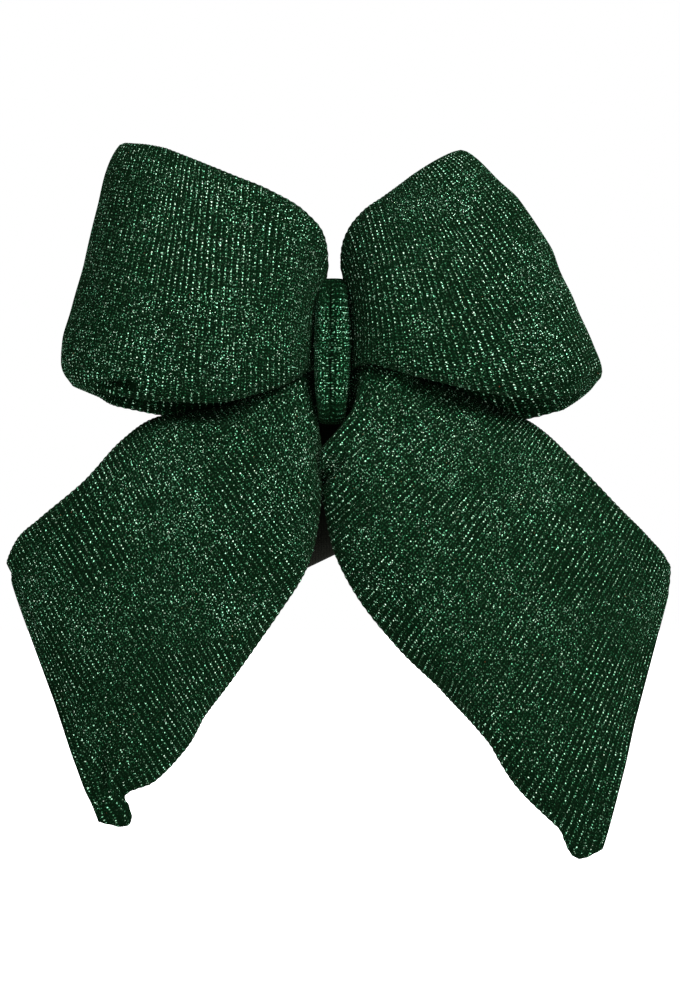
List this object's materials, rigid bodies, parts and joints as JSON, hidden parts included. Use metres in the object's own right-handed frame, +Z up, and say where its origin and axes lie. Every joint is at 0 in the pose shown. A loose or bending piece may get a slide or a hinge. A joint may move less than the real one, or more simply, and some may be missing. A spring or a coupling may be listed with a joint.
{
  "type": "pre-made padded gift bow",
  "caption": "Padded fabric gift bow with stuffed loops and tails, a narrow knot wrap and a hanging strap at the back.",
  "frame": {"origin": "on the back face of the knot, where the strap's ends are sewn, level with the middle of the knot", "axes": "+X to the viewer's right, +Z up, the bow faces -Y and +Y points out of its back"},
  "size_m": [0.279, 0.0589, 0.3044],
  "materials": {
    "metallic_knit": "dark green rib knit with metallic yarn",
    "wrap_knit": "dark green rib knit with metallic yarn, ribs across the band",
    "fibrefill": "matt white polyester fibre",
    "sewing_thread": "satin dark green thread",
    "black_elastic": "matt black woven elastic"
  },
  "bodies": {
    "knot": {"knot_wrap": "wrap_knit", "knot_wrap_stitches": "sewing_thread", "cinch_thread": "sewing_thread", "strap_sewn_end": "black_elastic", "strap_bar_tacks": "sewing_thread"},
    "left_loop": {"left_loop_cover": "metallic_knit", "left_loop_filling": "fibrefill"},
    "right_loop": {"right_loop_cover": "metallic_knit", "right_loop_filling": "fibrefill"},
    "left_tail": {"left_tail_cover": "metallic_knit", "left_tail_filling": "fibrefill"},
    "right_tail": {"right_tail_cover": "metallic_knit", "right_tail_filling": "fibrefill"},
    "strap": {"hanging_strap": "black_elastic"}
  },
  "joints": [
    {"name": "left_loop_fluff", "type": "hinge", "parent": "knot", "child": "left_loop", "pos_m": [-0.005, -0.038, 0.01], "axis": [0, 0, 1], "range_deg": [0, 10], "stiffness_Nm_per_rad": 0.05},
    {"name": "right_loop_fluff", "type": "hinge", "parent": "knot", "child": "right_loop", "pos_m": [0.005, -0.038, 0.01], "axis": [0, 0, -1], "range_deg": [0, 10], "stiffness_Nm_per_rad": 0.05},
    {"name": "left_tail_lift", "type": "hinge", "parent": "knot", "child": "left_tail", "pos_m": [-0.004, -0.027, -0.018], "axis": [-0.7554, 0, 0.6553], "range_deg": [0, 20], "stiffness_Nm_per_rad": 0.05},
    {"name": "right_tail_lift", "type": "hinge", "parent": "knot", "child": "right_tail", "pos_m": [0.004, -0.027, -0.018], "axis": [-0.7511, 0, -0.6601], "range_deg": [0, 20], "stiffness_Nm_per_rad": 0.05},
    {"name": "strap_swing", "type": "hinge", "parent": "knot", "child": "strap", "pos_m": [0, -0.001, -0.0268], "axis": [1, 0, 0], "range_deg": [0, 100], "stiffness_Nm_per_rad": 0.001}
  ]
}
